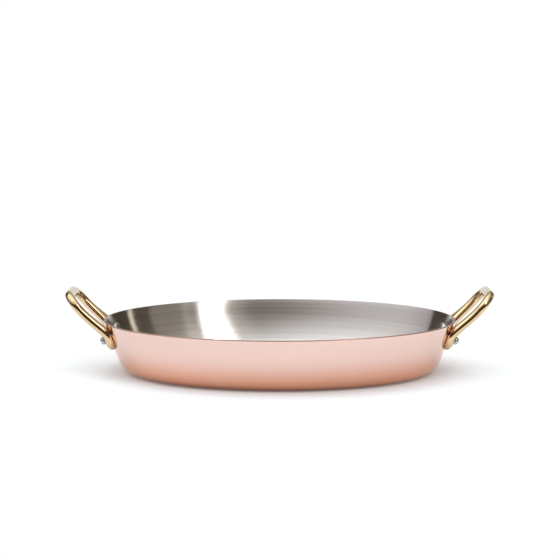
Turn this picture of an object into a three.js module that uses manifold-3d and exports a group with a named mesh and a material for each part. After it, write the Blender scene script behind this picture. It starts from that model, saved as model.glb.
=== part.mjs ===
// An oval pan of copper lined with steel, with a cast brass loop handle riveted to each end.
// Millimetres, +Z up. The origin is under the middle of the base, the long axis lies along X and the
// pan's front faces -Y.
import * as THREE from "three";
import { mergeVertices } from "three/addons/utils/BufferGeometryUtils.js";
import Module from "manifold-3d";

// Pan, measured on the outside of the copper before its rim is rounded.
const RIM_LENGTH = 320;
const RIM_WIDTH = 230;
const HEIGHT = 48.5;
const WALL_FLARE = 20; // degrees from the vertical
const BASE_CORNER_RADIUS = 18;
const RIM_EDGE_RADIUS = 0.6;
const COPPER_THICKNESS = 1.8;
const STEEL_THICKNESS = 0.2;

// Lugs, the feet of a handle. Each lies on the wall and ends in a half oval below its rivet.
const LUG_SPACING = 45; // from rivet to rivet, across the pan
const LUG_WIDTH = 18;
const LUG_THICKNESS = 6.4;
const LUG_END_LENGTH = 11; // from the rivet down to the end of the half oval
const LUG_TIP_THICKNESS = 1; // at the lower end of the half oval
const LUG_TIP_FLAT = 2; // width of the half oval's last edge
const LUG_FLAT_LENGTH = 2.5; // from the rivet up to where the arm starts to leave the wall
const RIVET_DROP = 14; // rivet below the rim

// Loop of a handle, measured on the centre line of its bar.
const GRIP_SPACING = 50; // from arm to arm
const GRIP_REACH = 28.5; // out from the end of the rim
const GRIP_RISE = 23.2; // above the rim
const GRIP_SLOPE = 49.5; // degrees from the horizontal
const GRIP_CORNER_RADIUS = 14;
const BAR_WIDTH = 9;
const BAR_THICKNESS = 7.8;
const NECK_LOWER_PULL = 6; // how far the swan neck follows the wall before it bends out
const NECK_UPPER_PULL = 14; // how far it follows the grip's slope before it bends in

// Rivets.
const SHANK_DIAMETER = 5;
const INNER_HEAD_DIAMETER = 12;
const INNER_HEAD_HEIGHT = 2.5;
const OUTER_HEAD_DIAMETER = 7;
const OUTER_HEAD_HEIGHT = 2.8;

// How far a lug's section reaches into the wall before its back is cut to fit.
const LUG_SINK = 2.5;

// Clearances.
const SEAT_GAP = 0.3; // between a lug and the wall, and under a rivet's heads
const HOLE_CLEARANCE = 0.3; // round a rivet's shank
const BOND_GAP = 0.05; // between the two sheets of the wall

// Facets.
const OVAL_SEGMENTS = 80;
const CORNER_STEPS = 6;
const RIM_EDGE_STEPS = 2;
const SECTION_POINTS = 20;
const LUG_END_STEPS = 5;
const NECK_STEPS = 10;
const GRIP_CORNER_STEPS = 6;
const RIVET_SEGMENTS = 20;
const DOME_STEPS = 5;
const ANGLE_TOLERANCE = 1e-9; // radians, where a place on the oval is searched for

// Sections of the handle: 2 is an ellipse, and a higher number is squarer.
const LUG_SQUARENESS = 2.5;
const BAR_SQUARENESS = 2.3;

// Both ends are alike, so the left one is the right one turned half round. Front is the side of the
// turned end that comes to lie at the pan's front.
const ENDS = [
  { name: "right", turn: 0, front: -1 },
  { name: "left", turn: Math.PI, front: 1 },
];
const SIDES = [-1, 1];

// Finishes.
const COPPER = { color: "#e0b09c", roughness: 0.18 };
const STEEL = { color: "#b9b6b0", roughness: 0.32 };
const BRASS = { color: "#dcbd83", roughness: 0.14 };
const RIVET_STEEL = { color: "#c4c2be", roughness: 0.25 };

const HALF_LENGTH = RIM_LENGTH / 2;
const HALF_WIDTH = RIM_WIDTH / 2;
const FLARE = THREE.MathUtils.degToRad(WALL_FLARE);
const SLOPE = THREE.MathUtils.degToRad(GRIP_SLOPE);
const LINING_DEPTH = COPPER_THICKNESS + BOND_GAP;
const WALL_THICKNESS = LINING_DEPTH + STEEL_THICKNESS;

// The corner between wall and base is one arc, whose centre lies this far inside the rim's outline. The
// base is flat from there to the middle.
const FLAT_INSET = (HEIGHT - BASE_CORNER_RADIUS) * Math.tan(FLARE) + BASE_CORNER_RADIUS / Math.cos(FLARE);

const wasm = await Module();
wasm.setup();

function solidOf(geometry) {
  const bare = new THREE.BufferGeometry();
  bare.setAttribute("position", geometry.getAttribute("position"));
  bare.setIndex(geometry.getIndex());
  const merged = mergeVertices(bare);
  return new wasm.Manifold(
    new wasm.Mesh({
      numProp: 3,
      vertProperties: merged.getAttribute("position").array,
      triVerts: new Uint32Array(merged.getIndex().array),
    }),
  );
}

function geometryOf(solid) {
  const mesh = solid.getMesh();
  const geometry = new THREE.BufferGeometry();
  geometry.setAttribute("position", new THREE.BufferAttribute(mesh.vertProperties, 3));
  geometry.setIndex(new THREE.BufferAttribute(mesh.triVerts, 1));
  geometry.computeVertexNormals();
  return geometry;
}

// Direction, in plan, in which the rim's outline faces at an angle of the ellipse.
function outlineNormal(angle) {
  return new THREE.Vector2(HALF_WIDTH * Math.cos(angle), HALF_LENGTH * Math.sin(angle)).normalize();
}

// A point of the rim's outline, moved inwards square to it.
function outlinePoint(angle, inset) {
  const point = new THREE.Vector2(HALF_LENGTH * Math.cos(angle), HALF_WIDTH * Math.sin(angle));
  return point.addScaledVector(outlineNormal(angle), -inset);
}

// One skin of the pan, at a depth inside the copper's outside, from the edge of the flat base up its
// corner and wall to a height. Each point is an inset from the rim's outline and a height.
function skin(depth, top) {
  const radius = BASE_CORNER_RADIUS - depth;
  const points = [];
  for (let i = 0; i <= CORNER_STEPS; i++) {
    const turn = THREE.MathUtils.lerp(-Math.PI / 2, -FLARE, i / CORNER_STEPS);
    const inset = FLAT_INSET - radius * Math.cos(turn);
    points.push([inset, BASE_CORNER_RADIUS + radius * Math.sin(turn)]);
  }
  points.push([(HEIGHT - top) * Math.tan(FLARE) + depth / Math.cos(FLARE), top]);
  return points;
}

// The copper's outer skin, with its top edge rounded over.
function outerSkin() {
  const points = skin(0, HEIGHT - RIM_EDGE_RADIUS * (1 + Math.sin(FLARE)));
  const wallInset = points.at(-1)[0];
  const centreInset = wallInset + RIM_EDGE_RADIUS * Math.cos(FLARE);
  const centreHeight = HEIGHT - RIM_EDGE_RADIUS;
  for (let i = 1; i <= RIM_EDGE_STEPS; i++) {
    const turn = THREE.MathUtils.lerp(-FLARE, Math.PI / 2, i / RIM_EDGE_STEPS);
    const inset = centreInset - RIM_EDGE_RADIUS * Math.cos(turn);
    points.push([inset, centreHeight + RIM_EDGE_RADIUS * Math.sin(turn)]);
  }
  return points;
}

// Turns a profile round the oval. Walls stay square to the rim's outline, and the flat base is drawn
// in evenly to the middle.
function ovalSolid(lower, upper) {
  const middle = (points, i) => [HALF_LENGTH, points.at(i)[1]];
  const profile = [middle(lower, 0), ...lower, ...upper.toReversed(), middle(upper, 0)];
  const points = profile.map(([inset, height]) => new THREE.Vector2(HALF_LENGTH - inset, height));
  const geometry = new THREE.LatheGeometry(points, OVAL_SEGMENTS).rotateX(Math.PI / 2);
  const position = geometry.getAttribute("position");
  for (let i = 0; i < position.count; i++) {
    const radius = Math.hypot(position.getX(i), position.getY(i));
    const angle = Math.atan2(position.getY(i), position.getX(i));
    const inset = Math.min(HALF_LENGTH - radius, FLAT_INSET);
    const point = outlinePoint(angle, inset).multiplyScalar(radius / (HALF_LENGTH - inset));
    position.setXY(i, point.x, point.y);
  }
  return solidOf(geometry);
}

// Where a rivet goes through the wall: a point on the copper's outside and the directions out of the
// wall, along it and up it. Side is 1 at the back of the right end and -1 at its front.
function rivetSeat(side) {
  const inset = RIVET_DROP * Math.tan(FLARE);
  let low = 0;
  let high = Math.PI / 2;
  while (high - low > ANGLE_TOLERANCE) {
    const middle = (low + high) / 2;
    if (outlinePoint(middle, inset).y < LUG_SPACING / 2) low = middle;
    else high = middle;
  }
  const plan = outlinePoint(side * low, inset);
  const facing = outlineNormal(side * low);
  return {
    point: new THREE.Vector3(plan.x, plan.y, HEIGHT - RIVET_DROP),
    out: new THREE.Vector3(facing.x * Math.cos(FLARE), facing.y * Math.cos(FLARE), -Math.sin(FLARE)),
    along: new THREE.Vector3(-facing.y, facing.x, 0),
    up: new THREE.Vector3(facing.x * Math.sin(FLARE), facing.y * Math.sin(FLARE), Math.cos(FLARE)),
  };
}

// Puts an object made along +Y on a rivet's axis, with its origin on the copper's outside.
function setOnRivet(object, seat) {
  object.position.copy(seat.point);
  object.quaternion.setFromUnitVectors(new THREE.Vector3(0, 1, 0), seat.out);
  return object;
}

// A hole for a rivet, through wall and lug.
function rivetHole(side, turn) {
  const radius = SHANK_DIAMETER / 2 + HOLE_CLEARANCE;
  const length = 2 * (WALL_THICKNESS + SEAT_GAP + LUG_THICKNESS + OUTER_HEAD_HEIGHT);
  const tool = new THREE.Mesh(new THREE.CylinderGeometry(radius, radius, length, RIVET_SEGMENTS));
  const end = new THREE.Group();
  end.rotation.z = turn;
  end.add(setOnRivet(tool, rivetSeat(side)));
  end.updateMatrixWorld();
  return solidOf(tool.geometry.applyMatrix4(tool.matrixWorld));
}

function withRivetHoles(solid, turns) {
  const holes = turns.flatMap((turn) => SIDES.map((side) => rivetHole(side, turn)));
  return holes.reduce((cut, hole) => cut.subtract(hole), solid);
}

function copperShell() {
  const body = ovalSolid(outerSkin(), skin(COPPER_THICKNESS, HEIGHT));
  return geometryOf(withRivetHoles(body, ENDS.map((end) => end.turn)));
}

function steelLining() {
  const body = ovalSolid(skin(LINING_DEPTH, HEIGHT), skin(WALL_THICKNESS, HEIGHT));
  return geometryOf(withRivetHoles(body, ENDS.map((end) => end.turn)));
}

// One ring of the handle: a rounded section square to the path, wide along one direction and thick
// along another.
function sectionRing({ centre, wide, thick, width, thickness, squareness }) {
  const ring = [];
  for (let i = 0; i < SECTION_POINTS; i++) {
    const angle = (2 * Math.PI * i) / SECTION_POINTS;
    const [across, over] = [Math.cos(angle), Math.sin(angle)].map(
      (value) => (Math.sign(value) * Math.abs(value) ** (2 / squareness)) / 2,
    );
    ring.push(
      centre.clone().addScaledVector(wide, across * width).addScaledVector(thick, over * thickness),
    );
  }
  return ring;
}

// The sections from the end of the back lug to the middle of the bar.
function halfHandle() {
  const seat = rivetSeat(1);
  const sections = [];

  // The lug reaches into the wall, which then cuts its back to fit. Its half oval thins out downwards.
  const lugMiddle = (face) => seat.point.clone().addScaledVector(seat.out, SEAT_GAP + (face - LUG_SINK) / 2);
  const lug = { wide: seat.along, thick: seat.out, squareness: LUG_SQUARENESS };
  const lastTurn = Math.acos(LUG_TIP_FLAT / LUG_WIDTH);
  for (let i = LUG_END_STEPS; i >= 0; i--) {
    const turn = (lastTurn * i) / LUG_END_STEPS;
    const face = THREE.MathUtils.lerp(LUG_TIP_THICKNESS, LUG_THICKNESS, Math.cos(turn));
    const centre = lugMiddle(face).addScaledVector(seat.up, -LUG_END_LENGTH * Math.sin(turn));
    sections.push({ ...lug, centre, width: LUG_WIDTH * Math.cos(turn), thickness: face + LUG_SINK });
  }

  // The arm leaves the wall in a swan neck and ends where the grip's corner starts.
  const gripUp = new THREE.Vector3(Math.cos(SLOPE), 0, Math.sin(SLOPE));
  const gripOut = new THREE.Vector3(Math.sin(SLOPE), 0, -Math.cos(SLOPE));
  const across = new THREE.Vector3(0, 1, 0);
  const cornerRadius = Math.min(GRIP_CORNER_RADIUS, GRIP_SPACING / 2);
  const barMiddle = new THREE.Vector3(HALF_LENGTH + GRIP_REACH, 0, HEIGHT + GRIP_RISE);
  const cornerCentre = barMiddle
    .clone()
    .addScaledVector(gripUp, -cornerRadius)
    .addScaledVector(across, GRIP_SPACING / 2 - cornerRadius);
  const neckStart = lugMiddle(LUG_THICKNESS).addScaledVector(seat.up, LUG_FLAT_LENGTH);
  const neckEnd = cornerCentre.clone().addScaledVector(across, cornerRadius);
  const neck = new THREE.CubicBezierCurve3(
    neckStart,
    neckStart.clone().addScaledVector(seat.up, NECK_LOWER_PULL),
    neckEnd.clone().addScaledVector(gripUp, -NECK_UPPER_PULL),
    neckEnd,
  );
  for (let i = 0; i < NECK_STEPS; i++) {
    const along = i / NECK_STEPS;
    const share = THREE.MathUtils.smoothstep(along, 0, 1);
    const tangent = neck.getTangent(along);
    const wide = seat.along.clone().lerp(across, share);
    const thick = wide.clone().cross(tangent).normalize();
    wide.copy(tangent).cross(thick);
    sections.push({
      centre: neck.getPoint(along),
      wide,
      thick,
      width: THREE.MathUtils.lerp(LUG_WIDTH, BAR_WIDTH, share),
      thickness: THREE.MathUtils.lerp(LUG_THICKNESS + LUG_SINK, BAR_THICKNESS, share),
      squareness: THREE.MathUtils.lerp(LUG_SQUARENESS, BAR_SQUARENESS, share),
    });
  }

  // The grip's corner turns the arm into the bar.
  const bar = { thick: gripOut, width: BAR_WIDTH, thickness: BAR_THICKNESS, squareness: BAR_SQUARENESS };
  for (let i = 0; i <= GRIP_CORNER_STEPS; i++) {
    const turn = ((Math.PI / 2) * i) / GRIP_CORNER_STEPS;
    const wide = new THREE.Vector3()
      .addScaledVector(across, Math.cos(turn))
      .addScaledVector(gripUp, Math.sin(turn));
    const centre = cornerCentre.clone().addScaledVector(wide, cornerRadius);
    sections.push({ ...bar, centre, wide });
  }
  return sections;
}

// A closed solid through a row of rings, each with the same number of points.
function loft(rings) {
  const count = rings[0].length;
  const last = (rings.length - 1) * count;
  const index = [];
  for (let start = 0; start < last; start += count) {
    for (let i = 0; i < count; i++) {
      const next = (i + 1) % count;
      index.push(start + i, start + count + i, start + next);
      index.push(start + next, start + count + i, start + count + next);
    }
  }
  for (let i = 1; i < count - 1; i++) {
    index.push(0, i, i + 1);
    index.push(last, last + i + 1, last + i);
  }
  const geometry = new THREE.BufferGeometry().setFromPoints(rings.flat());
  return geometry.setIndex(index);
}

// The handle at the right end. Its front half mirrors its back half.
function handle() {
  const back = halfHandle().map(sectionRing);
  const mirrored = ({ x, y, z }) => new THREE.Vector3(x, -y, z);
  const front = back.toReversed().map((ring) => ring.map(mirrored));
  const body = solidOf(loft([...back, ...front]));
  const wall = skin(-SEAT_GAP, HEIGHT + GRIP_RISE);
  const pan = ovalSolid(wall, [[HALF_LENGTH, HEIGHT + GRIP_RISE]]);
  return geometryOf(withRivetHoles(body.subtract(pan), [0]));
}

// A domed head's outline, from its top on the axis to its edge.
function dome(seatHeight, diameter, height) {
  const points = [];
  for (let i = 0; i <= DOME_STEPS; i++) {
    const turn = ((Math.PI / 2) * i) / DOME_STEPS;
    const radius = (diameter / 2) * Math.sin(turn);
    points.push(new THREE.Vector2(radius, seatHeight + height * Math.cos(turn)));
  }
  return points;
}

// A rivet along +Y, with its origin on the copper's outside.
function rivet() {
  const innerSeat = -WALL_THICKNESS - SEAT_GAP;
  const outerSeat = SEAT_GAP + LUG_THICKNESS + SEAT_GAP;
  const profile = [
    ...dome(innerSeat, INNER_HEAD_DIAMETER, -INNER_HEAD_HEIGHT),
    new THREE.Vector2(SHANK_DIAMETER / 2, innerSeat),
    new THREE.Vector2(SHANK_DIAMETER / 2, outerSeat),
    ...dome(outerSeat, OUTER_HEAD_DIAMETER, OUTER_HEAD_HEIGHT).reverse(),
  ];
  return new THREE.LatheGeometry(profile, RIVET_SEGMENTS);
}

function named(name, geometry, finish) {
  const mesh = new THREE.Mesh(geometry, new THREE.MeshStandardMaterial({ ...finish, metalness: 1 }));
  mesh.name = name;
  return mesh;
}

const pan = new THREE.Group();
pan.add(named("copper_shell", copperShell(), COPPER));
pan.add(named("steel_lining", steelLining(), STEEL));
for (const { name, turn, front } of ENDS) {
  const end = new THREE.Group();
  end.rotation.z = turn;
  end.add(named(`handle_${name}`, handle(), BRASS));
  for (const side of SIDES) {
    const place = side === front ? "front" : "back";
    end.add(setOnRivet(named(`rivet_${name}_${place}`, rivet(), RIVET_STEEL), rivetSeat(side)));
  }
  pan.add(end);
}

export default pan;
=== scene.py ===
# An oval copper pan lined with steel, with a cast brass loop handle riveted to each end.
# Metres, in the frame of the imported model: long axis along X, front towards -Y, base on Z = 0.
import math

import bmesh
import bpy
from mathutils import Matrix, Vector


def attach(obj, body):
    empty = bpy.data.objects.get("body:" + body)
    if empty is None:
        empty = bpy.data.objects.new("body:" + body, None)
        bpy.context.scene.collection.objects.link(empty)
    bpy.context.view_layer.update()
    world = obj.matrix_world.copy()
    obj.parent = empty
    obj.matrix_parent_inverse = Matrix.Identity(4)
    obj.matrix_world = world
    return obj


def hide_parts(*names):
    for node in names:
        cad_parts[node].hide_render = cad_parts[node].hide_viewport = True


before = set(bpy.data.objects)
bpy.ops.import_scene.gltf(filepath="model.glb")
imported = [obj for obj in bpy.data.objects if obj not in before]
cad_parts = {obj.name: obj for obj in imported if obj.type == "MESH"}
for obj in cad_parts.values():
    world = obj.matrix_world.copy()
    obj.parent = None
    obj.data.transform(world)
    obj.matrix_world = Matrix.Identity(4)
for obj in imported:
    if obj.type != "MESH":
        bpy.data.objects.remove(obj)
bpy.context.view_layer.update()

MM = 0.001

# Pan, measured on the outside of the copper before its rim is rounded.
RIM_LENGTH = 320 * MM
RIM_WIDTH = 230 * MM
HEIGHT = 48.5 * MM
FLARE = math.radians(20)
BASE_CORNER_RADIUS = 18 * MM
COPPER_THICKNESS = 1.8 * MM
BOND_GAP = 0.05 * MM
STEEL_THICKNESS = 0.2 * MM
OUTER_RIM_EDGE = 0.6 * MM
INNER_RIM_EDGE = 0.08 * MM

# Lugs, the feet of a handle.
LUG_SPACING = 45 * MM
LUG_WIDTH = 18 * MM
LUG_THICKNESS = 6.4 * MM
LUG_END_LENGTH = 11 * MM
LUG_TIP_THICKNESS = 1 * MM
LUG_TIP_FLAT = 2 * MM
LUG_FLAT_LENGTH = 2.5 * MM
LUG_SINK = 2.5 * MM
RIVET_DROP = 14 * MM
SEAT_GAP = 0.3 * MM

# Loop of a handle, measured on the centre line of its bar.
GRIP_SPACING = 50 * MM
GRIP_REACH = 28.5 * MM
GRIP_RISE = 23.2 * MM
GRIP_SLOPE = math.radians(49.5)
GRIP_CORNER_RADIUS = 14 * MM
BAR_WIDTH = 9 * MM
BAR_THICKNESS = 7.8 * MM
NECK_LOWER_PULL = 6 * MM
NECK_UPPER_PULL = 14 * MM
LUG_SQUARENESS = 2.5
BAR_SQUARENESS = 2.3

# Rivets.
SHANK_DIAMETER = 5 * MM
HOLE_CLEARANCE = 0.3 * MM
INNER_HEAD_DIAMETER = 12 * MM
INNER_HEAD_HEIGHT = 2.5 * MM
OUTER_HEAD_DIAMETER = 7 * MM
OUTER_HEAD_HEIGHT = 2.8 * MM

# Fineness of the meshes.
OVAL_QUARTER_STEPS = 72
CORNER_STEPS = 20
RIM_EDGE_STEPS = 6
LONGEST_PROFILE_EDGE = 6 * MM
SECTION_POINTS = 48
LUG_END_STEPS = 14
NECK_STEPS = 26
GRIP_CORNER_STEPS = 18
BAR_STEPS = 4
RIVET_QUARTER_STEPS = 12
DOME_STEPS = 12
SEAT_HALVINGS = 40
FITTING_TURNS = 10
MERGE_DISTANCE = 0.0001 * MM
SHARP_ANGLE = math.radians(40)

# Lines of brushing and polishing. They run lengthwise on the base and all round on the wall,
# and one turns into the other between these heights.
LENGTHWISE_TOP = 3 * MM
ROUND_BOTTOM = 9 * MM
LENGTHWISE = (1.0, 0.0, 0.0)
LINE_DETAIL = 4.0
LINE_GRAIN = 0.6

# Marks of handling: a soft haze, and hairlines that run in a few directions.
HAZE_DETAIL = 3.0
HAIRLINE_DETAIL = 2.0
HAIRLINE_TURNS = (0.4, 1.5, 2.6)
HAIRLINE_STRETCH = (0.04, 1.0, 1.0)
HAIRLINE_START = 0.62
HAIRLINE_FULL = 0.74
HAIRLINE_WEAR = 0.3

# Copper. It is darker and deeper in colour towards its base, up to a height: painted shade, for the
# shadowed floor that it mirrors there. Its cut edge at the rim is satin, and painted darker as shade.
COPPER_WALL_TONES = ((0.81, 0.577, 0.507), (0.85, 0.606, 0.538))
COPPER_PAINTED_SHADE_TONES = ((0.77, 0.364, 0.22), (0.81, 0.393, 0.248))
COPPER_PAINTED_SHADE_HEIGHT = 32 * MM
COPPER_ROUGHNESS = (0.08, 0.16)
COPPER_LINES = {"Along": 14.0, "Across": 1500.0}
COPPER_LINE_DEPTH = 0.003 * MM
COPPER_LINE_STRENGTH = 0.3
COPPER_MARKS = {"Haze Scale": 22.0, "Hairline Scale": 900.0}
CUT_EDGE_HEIGHT = 0.45 * MM
CUT_EDGE_FADE = 0.2 * MM
CUT_EDGE_PAINTED_SHADE = (0.42, 0.22, 0.17)
CUT_EDGE_ROUGHNESS = 0.45

# Steel of the lining. Its wall is slightly hollow towards its base, between two heights.
STEEL_TONES = ((0.505, 0.488, 0.467), (0.735, 0.71, 0.68))
STEEL_ROUGHNESS = (0.14, 0.22)
STEEL_FINE_LINES = {"Along": 12.0, "Across": 2500.0}
STEEL_BROAD_LINES = {"Along": 3.0, "Across": 800.0}
STEEL_LINE_DEPTH = 0.015 * MM
STEEL_LINE_STRENGTH = 1.0
STEEL_STREAK = 1.0
STEEL_STREAK_TURN = 0.25
HOLLOW_TOP = 36 * MM
HOLLOW_BOTTOM = 8 * MM
HOLLOW_DEPTH = 3.0 * MM
HOLLOW_STRENGTH = 1.0

# Brass of the handles. The tint is that of its edges, where they are seen aslant.
BRASS_TONES = ((0.738, 0.537, 0.312), (0.793, 0.588, 0.358))
BRASS_EDGE_TINT = (0.84, 0.92, 1.0, 1.0)
BRASS_ROUGHNESS = (0.04, 0.09)
BRASS_MARKS = {"Haze Scale": 60.0, "Hairline Scale": 1400.0}
BRASS_WAVE_DEPTH = 0.05 * MM
BRASS_WAVE_STRENGTH = 0.3

# Steel of the rivets.
RIVET_TONES = ((0.48, 0.47, 0.465), (0.60, 0.59, 0.585))
RIVET_ROUGHNESS = (0.16, 0.34)
RIVET_MARKS = {"Haze Scale": 420.0, "Hairline Scale": 2200.0}
RIVET_WAVE_DEPTH = 0.1 * MM
RIVET_WAVE_STRENGTH = 0.4

# Table. Its white glows a little, and more outside the pan, from one distance to the other.
PLAIN_WHITE = (1.0, 1.0, 1.0)
TABLE_LENGTH = 0.9
TABLE_FRONT = -0.26
TABLE_BACK = 0.45
TABLE_DROP = 0.1 * MM
TABLE_WHITE = (0.8, 0.85, 0.88)
TABLE_GLOW = 0.085
FAR_GLOW = 0.17
FAR_GLOW_START = 0.124
FAR_GLOW_END = 0.168

# Light of the room behind the camera, by how far upwards a direction points.
ROOM_LEVELS = (
    (0.0, (0.055, 0.044, 0.032)),
    (0.35, (0.092, 0.074, 0.0525)),
    (0.58, (0.138, 0.112, 0.083)),
    (0.66, (0.45, 0.44, 0.42)),
    (0.76, (0.72, 0.71, 0.7)),
    (1.0, (0.74, 0.74, 0.74)),
)

# A soft wash of light from the left, which reaches further round the higher it is.
# It fades out in directions that point towards the back.
WASH_LEAN = 0.5
WASH_LEVELS = (
    (0.58, (0.0, 0.0, 0.0)),
    (0.64, (0.2, 0.17, 0.15)),
    (0.7, (0.48, 0.46, 0.46)),
    (0.76, (0.53, 0.525, 0.59)),
    (0.88, (0.62, 0.615, 0.67)),
    (1.0, PLAIN_WHITE),
)
WASH_FULL = 0.35
WASH_END = 0.43

# The white backdrop, as metal mirrors it, by how far backwards a direction points.
BACKDROP_START = 0.76
BACKDROP_FULL = 0.93

# Each lamp's name, degrees right of the camera, distance, height, width and height, brightness, tint,
# and whether metal mirrors it.
LAMPS = (
    ("overhead", -120.0, 0.45, 1.5, (1.7, 1.7), 0.12, PLAIN_WHITE, False),
    ("strip", 38.0, 1.61, 1.375, (0.44, 1.3), 4.0, PLAIN_WHITE, True),
    ("strip_glow", 38.0, 1.7, 1.45, (1.3, 1.37), 0.27, (1.0, 0.94, 0.84), True),
    ("right_panel", 70.0, 1.5, 0.55, (0.85, 1.2), 0.18, (1.0, 0.9, 0.78), True),
    ("high_glow", 52.0, 1.6, 2.1, (1.0, 0.8), 0.36, (1.0, 0.98, 0.95), True),
    ("side_strip", 112.0, 1.2, 0.35, (0.12, 0.6), 1.3, (1.0, 0.92, 0.76), True),
)

# Camera, aimed at the middle of the rim.
CAMERA_DISTANCE = 1.5
CAMERA_ELEVATION = math.radians(9.545)
CAMERA_LENS = 106.05
CAMERA_SHIFT = (0.0007, 0.0686)

# Values that follow from these.
HALF_LENGTH = RIM_LENGTH / 2
HALF_WIDTH = RIM_WIDTH / 2
LINING_DEPTH = COPPER_THICKNESS + BOND_GAP
WALL_THICKNESS = LINING_DEPTH + STEEL_THICKNESS
QUARTER = math.pi / 2

# The corner between wall and base is one arc, whose centre lies this far inside the rim's outline.
FLAT_INSET = (HEIGHT - BASE_CORNER_RADIUS) * math.tan(FLARE) + BASE_CORNER_RADIUS / math.cos(FLARE)

# The left end is the right one turned half round.
END_TURNS = {"right": 0, "left": math.pi}


# The oval

def outline_normal(angle):
    """The direction, in plan, in which the rim's outline faces."""
    return Vector((HALF_WIDTH * math.cos(angle), HALF_LENGTH * math.sin(angle))).normalized()


def outline_point(angle, inset):
    """A point of the rim's outline, moved inwards square to it."""
    point = Vector((HALF_LENGTH * math.cos(angle), HALF_WIDTH * math.sin(angle)))
    return point - inset * outline_normal(angle)


def wall_inset(height, depth):
    """How far inside the rim's outline the straight wall lies at a height, at a depth in the sheet."""
    return (HEIGHT - height) * math.tan(FLARE) + depth / math.cos(FLARE)


def drawn_to_oval(place):
    """Where a point of a round pan, as long as the oval one, comes to lie in the oval one."""
    radius = math.hypot(place.x, place.y)
    inset = min(HALF_LENGTH - radius, FLAT_INSET)
    plan = outline_point(math.atan2(place.y, place.x), inset) * (radius / (HALF_LENGTH - inset))
    return Vector((plan.x, plan.y, place.z))


# Profiles, drawn with a pen in the XZ plane and turned about Z

def draw_line(bm, pen, radius, height):
    """Draws a straight line from the pen to a point, and returns the pen there."""
    pen = bmesh.ops.extrude_vert_indiv(bm, verts=[pen])["verts"][0]
    pen.co = (radius, 0, height)
    return pen


def draw_arc(bm, pen, radius, height, turn, steps):
    """Draws an arc from the pen about a centre, and returns the pen at its end."""
    drawn = bmesh.ops.spin(
        bm, geom=[pen], cent=(radius, 0, height), axis=(0, -1, 0), angle=turn, steps=steps
    )
    return next(part for part in drawn["geom_last"] if isinstance(part, bmesh.types.BMVert))


def turn_profile(bm, steps):
    """Turns what is drawn a quarter round, mirrors it twice, and closes its seams and poles."""
    drawn = bm.verts[:] + bm.edges[:]
    bmesh.ops.spin(bm, geom=drawn, cent=(0, 0, 0), axis=(0, 0, 1), angle=QUARTER, steps=steps)
    bmesh.ops.remove_doubles(bm, verts=bm.verts, dist=MERGE_DISTANCE)
    for axis in "XY":
        geometry = bm.verts[:] + bm.edges[:] + bm.faces[:]
        bmesh.ops.mirror(bm, geom=geometry, axis=axis, merge_dist=MERGE_DISTANCE)
    bmesh.ops.recalc_face_normals(bm, faces=bm.faces)


# Pieces

def finished_piece(name, bm, finish, node):
    """Makes a piece of a mesh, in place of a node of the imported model."""
    mesh = bpy.data.meshes.new(name)
    bm.to_mesh(mesh)
    bm.free()
    for face in mesh.polygons:
        face.use_smooth = True
    mesh.set_sharp_from_angle(angle=SHARP_ANGLE)
    mesh.materials.append(finish)
    piece = bpy.data.objects.new(name, mesh)
    bpy.context.scene.collection.objects.link(piece)
    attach(piece, "root")
    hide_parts(node)
    return piece


def pan_sheet(outside, inside, outer_edge, inner_edge):
    """One sheet of the pan, between two depths below the copper's outside, with rounded rim edges."""
    bm = bmesh.new()
    corner = (HALF_LENGTH - FLAT_INSET, BASE_CORNER_RADIUS)
    corner_turn = QUARTER - FLARE

    pen = bm.verts.new((0, 0, outside))
    pen = draw_line(bm, pen, corner[0], outside)
    pen = draw_arc(bm, pen, *corner, corner_turn, CORNER_STEPS)

    wall_top = HEIGHT - outer_edge * (1 + math.sin(FLARE))
    radius = HALF_LENGTH - wall_inset(wall_top, outside)
    pen = draw_line(bm, pen, radius, wall_top)
    edge_centre = (radius - outer_edge * math.cos(FLARE), HEIGHT - outer_edge)
    pen = draw_arc(bm, pen, *edge_centre, QUARTER + FLARE, RIM_EDGE_STEPS)

    wall_top = HEIGHT - inner_edge * (1 - math.sin(FLARE))
    radius = HALF_LENGTH - wall_inset(wall_top, inside)
    edge_centre = (radius + inner_edge * math.cos(FLARE), HEIGHT - inner_edge)
    pen = draw_line(bm, pen, edge_centre[0], HEIGHT)
    pen = draw_arc(bm, pen, *edge_centre, corner_turn, RIM_EDGE_STEPS)

    inner_radius = BASE_CORNER_RADIUS - inside
    corner_end = (
        corner[0] + inner_radius * math.cos(FLARE),
        corner[1] - inner_radius * math.sin(FLARE),
    )
    pen = draw_line(bm, pen, *corner_end)
    pen = draw_arc(bm, pen, *corner, -corner_turn, CORNER_STEPS)
    draw_line(bm, pen, 0, inside)

    for edge in bm.edges[:]:
        cuts = int(edge.calc_length() / LONGEST_PROFILE_EDGE)
        if cuts:
            bmesh.ops.subdivide_edges(bm, edges=[edge], cuts=cuts)
    turn_profile(bm, OVAL_QUARTER_STEPS)
    for vert in bm.verts:
        vert.co = drawn_to_oval(vert.co)
    return bm


def rivet_seat(side):
    """A rivet's place at the right end.
    It lies on the copper's outside, with X along the wall, Y up it and Z out of it."""
    inset = wall_inset(HEIGHT - RIVET_DROP, 0)
    low, high = 0.0, QUARTER
    for _ in range(SEAT_HALVINGS):
        middle = (low + high) / 2
        if outline_point(middle, inset).y < LUG_SPACING / 2:
            low = middle
        else:
            high = middle
    plan = outline_point(side * low, inset)
    facing = outline_normal(side * low)
    along = Vector((-facing.y, facing.x, 0))
    up = Vector((facing.x * math.sin(FLARE), facing.y * math.sin(FLARE), math.cos(FLARE)))
    seat = Matrix((along, up, along.cross(up))).transposed().to_4x4()
    seat.translation = (plan.x, plan.y, HEIGHT - RIVET_DROP)
    return seat


def rivet_seats():
    """Every rivet's place, under the end and side that it is on."""
    seats = {}
    for end, turn in END_TURNS.items():
        for side in (-1, 1):
            seat = Matrix.Rotation(turn, 4, "Z") @ rivet_seat(side)
            seats[end, "front" if seat.translation.y < 0 else "back"] = seat
    return seats


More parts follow.
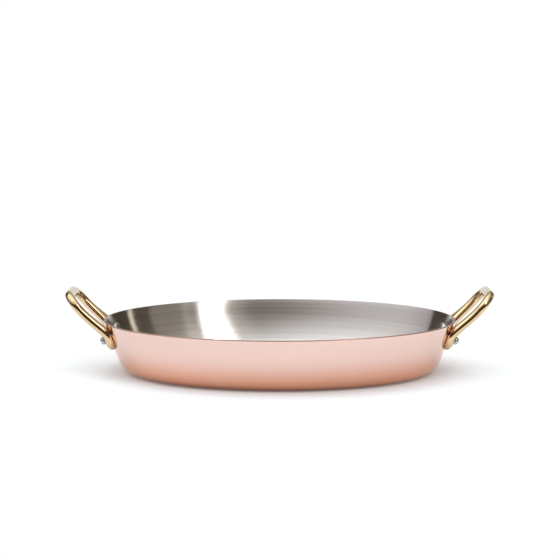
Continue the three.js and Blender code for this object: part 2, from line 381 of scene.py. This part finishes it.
def drill(piece, seats):
    """Cuts the rivets' holes through a piece."""
    bm = bmesh.new()
    radius = SHANK_DIAMETER / 2 + HOLE_CLEARANCE
    depth = 2 * (WALL_THICKNESS + LUG_THICKNESS + OUTER_HEAD_HEIGHT)
    for seat in seats:
        bmesh.ops.create_cone(
            bm,
            cap_ends=True,
            segments=4 * RIVET_QUARTER_STEPS,
            radius1=radius,
            radius2=radius,
            depth=depth,
            matrix=seat,
        )
    mesh = bpy.data.meshes.new("drill")
    bm.to_mesh(mesh)
    bm.free()
    tool = bpy.data.objects.new("drill", mesh)
    bpy.context.scene.collection.objects.link(tool)
    cut = piece.modifiers.new("rivet_holes", "BOOLEAN")
    cut.operation = "DIFFERENCE"
    cut.solver = "EXACT"
    cut.object = tool
    seen = piece.evaluated_get(bpy.context.evaluated_depsgraph_get())
    drilled = bpy.data.meshes.new_from_object(seen)
    piece.modifiers.clear()
    piece.data = drilled
    drilled.name = piece.name
    bpy.data.objects.remove(tool)


def rivet(seat):
    """A rivet with a domed head inside the pan and one on the lug."""
    inner_seat = -WALL_THICKNESS - SEAT_GAP
    outer_seat = LUG_THICKNESS + 2 * SEAT_GAP
    heads = (
        (inner_seat, INNER_HEAD_DIAMETER / 2, -INNER_HEAD_HEIGHT),
        (outer_seat, OUTER_HEAD_DIAMETER / 2, OUTER_HEAD_HEIGHT),
    )
    bm = bmesh.new()
    shank_ends = []
    for height, radius, rise in heads:
        drawn_before = set(bm.verts)
        pen = bm.verts.new((0, 0, 1))
        pen = draw_arc(bm, pen, 0, 0, -QUARTER, DOME_STEPS)
        for vert in set(bm.verts) - drawn_before:
            vert.co = (vert.co.x * radius, 0, height + vert.co.z * rise)
        shank_ends.append(draw_line(bm, pen, SHANK_DIAMETER / 2, height))
    bm.edges.new(shank_ends)
    turn_profile(bm, RIVET_QUARTER_STEPS)
    bmesh.ops.transform(bm, matrix=seat, verts=bm.verts)
    return bm


# Handles

def smooth_share(share):
    return share * share * (3 - 2 * share)


def blended(start, end, share):
    return start + (end - start) * share


def on_curve(knots, share):
    """The point and the direction at a share of a curve with four knots."""
    first = [a.lerp(b, share) for a, b in zip(knots, knots[1:])]
    second = [a.lerp(b, share) for a, b in zip(first, first[1:])]
    return second[0].lerp(second[1], share), (second[1] - second[0]).normalized()


def half_handle():
    """The sections of the right handle, from the end of its back lug to the middle of its bar.
    Each has its centre, its wide and thick directions, its width, its thickness and its squareness."""
    seat = rivet_seat(1)
    along, up, out = (seat.col[i].to_3d() for i in range(3))
    sections = []

    # The lug reaches into the wall, and its back is pressed to the wall afterwards.
    def lug_middle(face):
        return seat.translation + out * (SEAT_GAP + (face - LUG_SINK) / 2)

    last_turn = math.acos(LUG_TIP_FLAT / LUG_WIDTH)
    for i in range(LUG_END_STEPS, -1, -1):
        turn = last_turn * i / LUG_END_STEPS
        face = blended(LUG_TIP_THICKNESS, LUG_THICKNESS, math.cos(turn))
        centre = lug_middle(face) - up * (LUG_END_LENGTH * math.sin(turn))
        width = LUG_WIDTH * math.cos(turn)
        sections.append((centre, along, out, width, face + LUG_SINK, LUG_SQUARENESS))

    # The arm leaves the wall in a swan neck and ends where the grip's corner starts.
    grip_up = Vector((math.cos(GRIP_SLOPE), 0, math.sin(GRIP_SLOPE)))
    grip_out = Vector((math.sin(GRIP_SLOPE), 0, -math.cos(GRIP_SLOPE)))
    across = Vector((0, 1, 0))
    bar_middle = Vector((HALF_LENGTH + GRIP_REACH, 0, HEIGHT + GRIP_RISE))
    straight = GRIP_SPACING / 2 - GRIP_CORNER_RADIUS
    corner = bar_middle - grip_up * GRIP_CORNER_RADIUS + across * straight
    neck_start = lug_middle(LUG_THICKNESS) + up * LUG_FLAT_LENGTH
    neck_end = corner + across * GRIP_CORNER_RADIUS
    knots = (
        neck_start,
        neck_start + up * NECK_LOWER_PULL,
        neck_end - grip_up * NECK_UPPER_PULL,
        neck_end,
    )
    for i in range(NECK_STEPS):
        share = smooth_share(i / NECK_STEPS)
        centre, heading = on_curve(knots, i / NECK_STEPS)
        thick = along.lerp(across, share).cross(heading).normalized()
        sections.append((
            centre,
            heading.cross(thick),
            thick,
            blended(LUG_WIDTH, BAR_WIDTH, share),
            blended(LUG_THICKNESS + LUG_SINK, BAR_THICKNESS, share),
            blended(LUG_SQUARENESS, BAR_SQUARENESS, share),
        ))

    # The grip's corner turns the arm into the bar, which runs straight to its middle.
    bar = (BAR_WIDTH, BAR_THICKNESS, BAR_SQUARENESS)
    for i in range(GRIP_CORNER_STEPS + 1):
        turn = QUARTER * i / GRIP_CORNER_STEPS
        wide = across * math.cos(turn) + grip_up * math.sin(turn)
        sections.append((corner + wide * GRIP_CORNER_RADIUS, wide, grip_out, *bar))
    for i in range(1, BAR_STEPS + 1):
        centre = bar_middle + across * (straight * (1 - i / BAR_STEPS))
        sections.append((centre, grip_up, grip_out, *bar))
    return sections


def section_ring(bm, centre, wide, thick, width, thickness, squareness):
    """Draws one rounded section of the handle and returns its edges."""
    ring = bmesh.ops.create_circle(bm, segments=SECTION_POINTS, radius=1)["verts"]
    for vert in ring:
        across, over = (
            math.copysign(abs(part) ** (2 / squareness), part) / 2 for part in vert.co.xy
        )
        vert.co = centre + wide * (across * width) + thick * (over * thickness)
    return list({edge for vert in ring for edge in vert.link_edges})


def press_to_wall(bm):
    """Moves the points that lie in the right end's wall out to its face."""
    for vert in bm.verts:
        plan = vert.co.xy
        angle = math.atan2(vert.co.y, vert.co.x)
        for _ in range(FITTING_TURNS):
            facing = outline_normal(angle)
            offset = plan - outline_point(angle, 0)
            speed = math.hypot(HALF_LENGTH * math.sin(angle), HALF_WIDTH * math.cos(angle))
            angle += offset.dot((-facing.y, facing.x)) / speed
        sunk = -offset.dot(facing) - wall_inset(vert.co.z, -SEAT_GAP)
        if sunk > 0:
            vert.co += (facing * sunk).to_3d()


def loop_handle(turn):
    """A cast handle: one half lofted through its sections, mirrored, and pressed to the wall."""
    bm = bmesh.new()
    rings = [section_ring(bm, *section) for section in half_handle()]
    for ring, following in zip(rings, rings[1:]):
        bmesh.ops.bridge_loops(bm, edges=ring + following)
    bmesh.ops.contextual_create(bm, geom=rings[0])
    geometry = bm.verts[:] + bm.edges[:] + bm.faces[:]
    bmesh.ops.mirror(bm, geom=geometry, axis="Y", merge_dist=MERGE_DISTANCE)
    press_to_wall(bm)
    bmesh.ops.rotate(bm, verts=bm.verts, matrix=Matrix.Rotation(turn, 3, "Z"))
    bmesh.ops.remove_doubles(bm, verts=bm.verts, dist=MERGE_DISTANCE)
    bmesh.ops.recalc_face_normals(bm, faces=bm.faces)
    return bm


# Finishes

def fill_inputs(tree, node, values):
    """Links a node's inputs to sockets, or sets them to plain values."""
    for name, value in values.items():
        if isinstance(value, bpy.types.NodeSocket):
            tree.links.new(value, node.inputs[name])
        else:
            node.inputs[name].default_value = value


def add_node(tree, kind, values=None, **settings):
    """Adds a node, sets its settings, and fills its inputs."""
    node = tree.nodes.new(kind)
    for name, value in settings.items():
        setattr(node, name, value)
    fill_inputs(tree, node, values or {})
    return node


def new_group(name, inputs, outputs):
    """Starts a node group, and returns it with its input and output nodes."""
    group = bpy.data.node_groups.new(name, "ShaderNodeTree")
    for socket, kind in inputs.items():
        group.interface.new_socket(socket, in_out="INPUT", socket_type=kind)
    for socket, kind in outputs.items():
        group.interface.new_socket(socket, in_out="OUTPUT", socket_type=kind)
    return group, add_node(group, "NodeGroupInput"), add_node(group, "NodeGroupOutput")


def place_group(tree, group, place, values):
    """Places a node group in a finish, and returns its outputs."""
    return add_node(tree, "ShaderNodeGroup", {"Position": place, **values}, node_tree=group).outputs


def math_node(tree, operation, *values):
    return add_node(tree, "ShaderNodeMath", dict(enumerate(values)), operation=operation).outputs[0]


def graded(tree, value, start, end, low=0.0, high=1.0, interpolation="LINEAR"):
    """Turns a value between start and end into one between low and high."""
    return add_node(
        tree,
        "ShaderNodeMapRange",
        {"Value": value, "From Min": start, "From Max": end, "To Min": low, "To Max": high},
        interpolation_type=interpolation,
    ).outputs[0]


def colour_mix(tree, share, first, second):
    """A colour between two, each of them a colour or a socket."""
    first, second = (
        colour if isinstance(colour, bpy.types.NodeSocket) else (*colour, 1.0)
        for colour in (first, second)
    )
    return add_node(tree, "ShaderNodeMix", {0: share, 6: first, 7: second}, data_type="RGBA").outputs[2]


def bumped(tree, height, depth, strength, normal=None):
    """The direction that a bumped surface faces, on top of an earlier bump if one is given."""
    values = {"Height": height, "Distance": depth, "Strength": strength}
    if normal is not None:
        values["Normal"] = normal
    return add_node(tree, "ShaderNodeBump", values).outputs["Normal"]


def wall_share(tree, height):
    """0 on the base and 1 on the wall, for brushing that changes between them."""
    return graded(tree, height, LENGTHWISE_TOP, ROUND_BOTTOM, interpolation="SMOOTHSTEP")


def make_oval_lines():
    """Fine lines along the base and round the wall, as brushing and polishing leave them."""
    group, given, result = new_group(
        "oval_lines",
        {"Position": "NodeSocketVector", "Along": "NodeSocketFloat", "Across": "NodeSocketFloat"},
        {"Lines": "NodeSocketFloat"},
    )
    x, y, z = add_node(group, "ShaderNodeSeparateXYZ", {0: given.outputs["Position"]}).outputs
    far_x = math_node(group, "DIVIDE", x, HALF_LENGTH)
    far_y = math_node(group, "DIVIDE", y, HALF_WIDTH)
    square_x = math_node(group, "MULTIPLY", far_x, far_x)
    square_y = math_node(group, "MULTIPLY", far_y, far_y)
    far = math_node(group, "SQRT", math_node(group, "ADD", square_x, square_y))
    climb = math_node(group, "ADD", math_node(group, "MULTIPLY", far, HALF_WIDTH), z)
    across = add_node(group, "ShaderNodeMix", {0: wall_share(group, z), 2: y, 3: climb}).outputs[0]
    spread = add_node(
        group,
        "ShaderNodeCombineXYZ",
        {
            "X": math_node(group, "MULTIPLY", x, given.outputs["Along"]),
            "Y": math_node(group, "MULTIPLY", y, given.outputs["Along"]),
            "Z": math_node(group, "MULTIPLY", across, given.outputs["Across"]),
        },
    )
    noise = add_node(
        group,
        "ShaderNodeTexNoise",
        {"Vector": spread.outputs[0], "Scale": 1.0, "Detail": LINE_DETAIL, "Roughness": LINE_GRAIN},
    )
    fill_inputs(group, result, {"Lines": noise.outputs["Fac"]})
    return group


def make_handling_marks():
    """Soft haze and fine hairlines, as hands and cloths leave on polished metal."""
    group, given, result = new_group(
        "handling_marks",
        {
            "Position": "NodeSocketVector",
            "Haze Scale": "NodeSocketFloat",
            "Hairline Scale": "NodeSocketFloat",
        },
        {"Haze": "NodeSocketFloat", "Hairlines": "NodeSocketFloat"},
    )
    place = given.outputs["Position"]
    haze = add_node(
        group,
        "ShaderNodeTexNoise",
        {"Vector": place, "Scale": given.outputs["Haze Scale"], "Detail": HAZE_DETAIL},
    )
    hairlines = None
    for turn in HAIRLINE_TURNS:
        stretched = add_node(
            group,
            "ShaderNodeMapping",
            {"Vector": place, "Rotation": (turn, turn / 2, turn), "Scale": HAIRLINE_STRETCH},
        ).outputs[0]
        lines = add_node(
            group,
            "ShaderNodeTexNoise",
            {"Vector": stretched, "Scale": given.outputs["Hairline Scale"], "Detail": HAIRLINE_DETAIL},
        )
        sparse = graded(group, lines.outputs["Fac"], HAIRLINE_START, HAIRLINE_FULL)
        hairlines = sparse if hairlines is None else math_node(group, "MAXIMUM", hairlines, sparse)
    fill_inputs(group, result, {"Haze": haze.outputs["Fac"], "Hairlines": hairlines})
    return group


def worn(tree, marks):
    """The haze, with the hairlines added to it."""
    return math_node(tree, "MULTIPLY_ADD", marks["Hairlines"], HAIRLINE_WEAR, marks["Haze"])


def blank_finish(name):
    """A metal finish, with its shader and its place on the object."""
    finish = bpy.data.materials.new(name)
    finish.use_nodes = True
    tree = finish.node_tree
    tree.nodes.clear()
    shader = add_node(tree, "ShaderNodeBsdfPrincipled", {"Metallic": 1.0})
    add_node(tree, "ShaderNodeOutputMaterial", {"Surface": shader.outputs[0]})
    place = add_node(tree, "ShaderNodeTexCoord").outputs["Object"]
    return finish, tree, shader, place


oval_lines = make_oval_lines()
handling_marks = make_handling_marks()


def copper_finish():
    """Polished copper with fine lines, haze and hairlines, and painted shade at its base and cut edge."""
    finish, tree, shader, place = blank_finish("polished_copper")
    lines = place_group(tree, oval_lines, place, COPPER_LINES)
    marks = place_group(tree, handling_marks, place, COPPER_MARKS)
    height = add_node(tree, "ShaderNodeSeparateXYZ", {0: place}).outputs["Z"]
    # Painted shade: darker, deeper copper towards the base, fading out up to a height.
    rise = graded(tree, height, 0.0, COPPER_PAINTED_SHADE_HEIGHT, interpolation="SMOOTHSTEP")
    # Painted shade: the cut edge at the rim is darker, as well as satin.
    edge_start = HEIGHT - CUT_EDGE_HEIGHT
    edge = graded(tree, height, edge_start, edge_start + CUT_EDGE_FADE)
    wall = colour_mix(tree, marks["Haze"], *COPPER_WALL_TONES)
    base = colour_mix(tree, marks["Haze"], *COPPER_PAINTED_SHADE_TONES)
    polished = colour_mix(tree, rise, base, wall)
    gloss = graded(tree, worn(tree, marks), 0.0, 1.0, *COPPER_ROUGHNESS)
    roughness = add_node(tree, "ShaderNodeMix", {0: edge, 2: gloss, 3: CUT_EDGE_ROUGHNESS})
    fill_inputs(tree, shader, {
        "Base Color": colour_mix(tree, edge, polished, CUT_EDGE_PAINTED_SHADE),
        "Roughness": roughness.outputs[0],
        "Normal": bumped(tree, lines["Lines"], COPPER_LINE_DEPTH, COPPER_LINE_STRENGTH),
    })
    return finish


def steel_finish():
    """Brushed steel, whose highlights are drawn out across its brushing."""
    finish, tree, shader, place = blank_finish("brushed_steel")
    fine = place_group(tree, oval_lines, place, STEEL_FINE_LINES)
    broad = place_group(tree, oval_lines, place, STEEL_BROAD_LINES)
    height = add_node(tree, "ShaderNodeSeparateXYZ", {0: place}).outputs["Z"]
    hollow = graded(tree, height, HOLLOW_TOP, HOLLOW_BOTTOM)
    hollow = math_node(tree, "MULTIPLY", hollow, hollow)
    curved = bumped(tree, hollow, HOLLOW_DEPTH, HOLLOW_STRENGTH)
    around = add_node(tree, "ShaderNodeTangent", direction_type="RADIAL", axis="Z").outputs[0]
    brushing = add_node(
        tree,
        "ShaderNodeMix",
        {0: wall_share(tree, height), 4: LENGTHWISE, 5: around},
        data_type="VECTOR",
    )
    fill_inputs(tree, shader, {
        "Base Color": colour_mix(tree, broad["Lines"], *STEEL_TONES),
        "Roughness": graded(tree, broad["Lines"], 0.0, 1.0, *STEEL_ROUGHNESS),
        "Normal": bumped(tree, fine["Lines"], STEEL_LINE_DEPTH, STEEL_LINE_STRENGTH, curved),
        "Anisotropic": STEEL_STREAK,
        "Anisotropic Rotation": STEEL_STREAK_TURN,
        "Tangent": brushing.outputs[1],
    })
    return finish


def brass_finish():
    """Polished cast brass, very slightly uneven, with haze and hairlines."""
    finish, tree, shader, place = blank_finish("polished_brass")
    marks = place_group(tree, handling_marks, place, BRASS_MARKS)
    fill_inputs(tree, shader, {
        "Base Color": colour_mix(tree, marks["Haze"], *BRASS_TONES),
        "Roughness": graded(tree, worn(tree, marks), 0.0, 1.0, *BRASS_ROUGHNESS),
        "Normal": bumped(tree, marks["Haze"], BRASS_WAVE_DEPTH, BRASS_WAVE_STRENGTH),
        "Specular Tint": BRASS_EDGE_TINT,
    })
    return finish


def rivet_finish():
    """Tumbled steel, slightly uneven and hazy."""
    finish, tree, shader, place = blank_finish("tumbled_steel")
    marks = place_group(tree, handling_marks, place, RIVET_MARKS)
    fill_inputs(tree, shader, {
        "Base Color": colour_mix(tree, marks["Haze"], *RIVET_TONES),
        "Roughness": graded(tree, marks["Haze"], 0.0, 1.0, *RIVET_ROUGHNESS),
        "Normal": bumped(tree, marks["Haze"], RIVET_WAVE_DEPTH, RIVET_WAVE_STRENGTH),
    })
    return finish


# The pan

copper = copper_finish()
steel = steel_finish()
brass = brass_finish()
rivet_steel = rivet_finish()
seats = rivet_seats()

shell = finished_piece(
    "pan_copper",
    pan_sheet(0, COPPER_THICKNESS, OUTER_RIM_EDGE, INNER_RIM_EDGE),
    copper,
    "copper_shell",
)
lining = finished_piece(
    "pan_lining",
    pan_sheet(LINING_DEPTH, WALL_THICKNESS, INNER_RIM_EDGE, INNER_RIM_EDGE),
    steel,
    "steel_lining",
)
drill(shell, seats.values())
drill(lining, seats.values())
for end, turn in END_TURNS.items():
    loop = finished_piece(f"brass_loop_{end}", loop_handle(turn), brass, f"handle_{end}")
    drill(loop, [seat for place, seat in seats.items() if place[0] == end])
for (end, place), seat in seats.items():
    finished_piece(
        f"steel_rivet_{end}_{place}",
        rivet(seat),
        rivet_steel,
        f"rivet_{end}_{place}",
    )


# The studio

def pale_floor():
    """A white table top, which keeps the pan's shadow and glows a little to the camera and in metal."""
    bm = bmesh.new()
    bmesh.ops.create_grid(bm, x_segments=1, y_segments=1, size=1)
    bmesh.ops.scale(bm, verts=bm.verts, vec=(TABLE_LENGTH / 2, (TABLE_BACK - TABLE_FRONT) / 2, 1))
    bmesh.ops.translate(bm, verts=bm.verts, vec=(0, (TABLE_BACK + TABLE_FRONT) / 2, -TABLE_DROP))
    mesh = bpy.data.meshes.new("floor")
    bm.to_mesh(mesh)
    bm.free()
    paint = bpy.data.materials.new("floor_white")
    paint.use_nodes = True
    tree = paint.node_tree
    tree.nodes.clear()
    path = add_node(tree, "ShaderNodeLightPath").outputs
    seen = math_node(tree, "MAXIMUM", path["Is Camera Ray"], path["Is Glossy Ray"])
    seen = math_node(tree, "MAXIMUM", seen, path["Is Transmission Ray"])

    # The distance is measured as if the oval pan were drawn out to a round one.
    place = add_node(tree, "ShaderNodeTexCoord").outputs["Object"]
    rounded = (1.0, RIM_LENGTH / RIM_WIDTH, 1.0)
    round_place = add_node(
        tree,
        "ShaderNodeVectorMath",
        {0: place, 1: rounded},
        operation="MULTIPLY",
    ).outputs[0]
    distance = add_node(tree, "ShaderNodeVectorMath", {0: round_place}, operation="LENGTH").outputs["Value"]
    far_glow = graded(tree, distance, FAR_GLOW_START, FAR_GLOW_END, 0.0, FAR_GLOW)
    strength = math_node(tree, "MULTIPLY", seen, math_node(tree, "ADD", far_glow, TABLE_GLOW))
    matt = add_node(tree, "ShaderNodeBsdfDiffuse", {"Color": (*TABLE_WHITE, 1.0)})
    glow = add_node(tree, "ShaderNodeEmission", {"Strength": strength})
    both = add_node(tree, "ShaderNodeAddShader", {0: matt.outputs[0], 1: glow.outputs[0]})
    add_node(tree, "ShaderNodeOutputMaterial", {"Surface": both.outputs[0]})
    mesh.materials.append(paint)
    floor = bpy.data.objects.new("floor", mesh)
    bpy.context.scene.collection.objects.link(floor)


def level_ramp(tree, value, levels):
    """Colours at places between 0 and 1, blended between them."""
    ramp = add_node(tree, "ShaderNodeValToRGB", {"Fac": value})
    stops = ramp.color_ramp.elements
    while len(stops) < len(levels):
        stops.new(1.0)
    for stop, (place, colour) in zip(stops, levels):
        stop.position = place
        stop.color = (*colour, 1.0)
    return ramp.outputs[0]


def studio_light():
    """White behind the pan, a dim room behind the camera, and a soft wash from the left and above."""
    world = bpy.data.worlds.new("studio")
    bpy.context.scene.world = world
    world.use_nodes = True
    tree = world.node_tree
    tree.nodes.clear()
    heading = add_node(tree, "ShaderNodeTexCoord").outputs["Generated"]
    x, y, z = add_node(tree, "ShaderNodeSeparateXYZ", {0: heading}).outputs
    dim = level_ramp(tree, z, ROOM_LEVELS)
    wash = level_ramp(tree, math_node(tree, "MULTIPLY_ADD", x, -WASH_LEAN, z), WASH_LEVELS)
    before = graded(tree, y, WASH_END, WASH_FULL, interpolation="SMOOTHSTEP")
    washed = add_node(
        tree,
        "ShaderNodeVectorMath",
        {0: wash, 1: before, 2: dim},
        operation="MULTIPLY_ADD",
    )
    lit = add_node(tree, "ShaderNodeBackground", {"Color": washed.outputs[0], "Strength": 1.0})
    white = add_node(tree, "ShaderNodeBackground", {"Color": (*PLAIN_WHITE, 1.0), "Strength": 1.0})
    path = add_node(tree, "ShaderNodeLightPath").outputs
    behind = graded(tree, y, BACKDROP_START, BACKDROP_FULL, interpolation="SMOOTHSTEP")
    mirrored = math_node(tree, "MAXIMUM", path["Is Glossy Ray"], path["Is Transmission Ray"])
    mirrored = math_node(tree, "MULTIPLY", mirrored, behind)
    seen = math_node(tree, "MAXIMUM", path["Is Camera Ray"], mirrored)
    pick = add_node(tree, "ShaderNodeMixShader", {0: seen, 1: lit.outputs[0], 2: white.outputs[0]})
    add_node(tree, "ShaderNodeOutputWorld", {"Surface": pick.outputs[0]})


def lamp(name, azimuth, distance, height, size, brightness, tint, mirrored):
    """A flat lamp of a width and height, so many degrees right of the camera, aimed at the pan."""
    light = bpy.data.lights.new(name, "AREA")
    light.shape = "RECTANGLE"
    light.size, light.size_y = size
    light.energy = math.pi * size[0] * size[1] * brightness
    light.color = tint
    stand = bpy.data.objects.new(name, light)
    turn = math.radians(azimuth)
    stand.location = (distance * math.sin(turn), -distance * math.cos(turn), height)
    aim = Vector((0, 0, HEIGHT)) - stand.location
    stand.rotation_euler = aim.to_track_quat("-Z", "Y").to_euler()
    stand.visible_glossy = mirrored
    bpy.context.scene.collection.objects.link(stand)


def photo_camera():
    """A camera at the photograph's viewing angle."""
    eye = bpy.data.cameras.new("camera")
    eye.lens = CAMERA_LENS
    eye.shift_x, eye.shift_y = CAMERA_SHIFT
    camera = bpy.data.objects.new("camera", eye)
    back = Vector((0, -math.cos(CAMERA_ELEVATION), math.sin(CAMERA_ELEVATION)))
    camera.location = Vector((0, 0, HEIGHT)) + back * CAMERA_DISTANCE
    camera.rotation_euler = (QUARTER - CAMERA_ELEVATION, 0, 0)
    bpy.context.scene.collection.objects.link(camera)
    bpy.context.scene.camera = camera


photo_camera()
pale_floor()
studio_light()
for settings in LAMPS:
    lamp(*settings)
bpy.context.scene.view_settings.view_transform = "Standard"
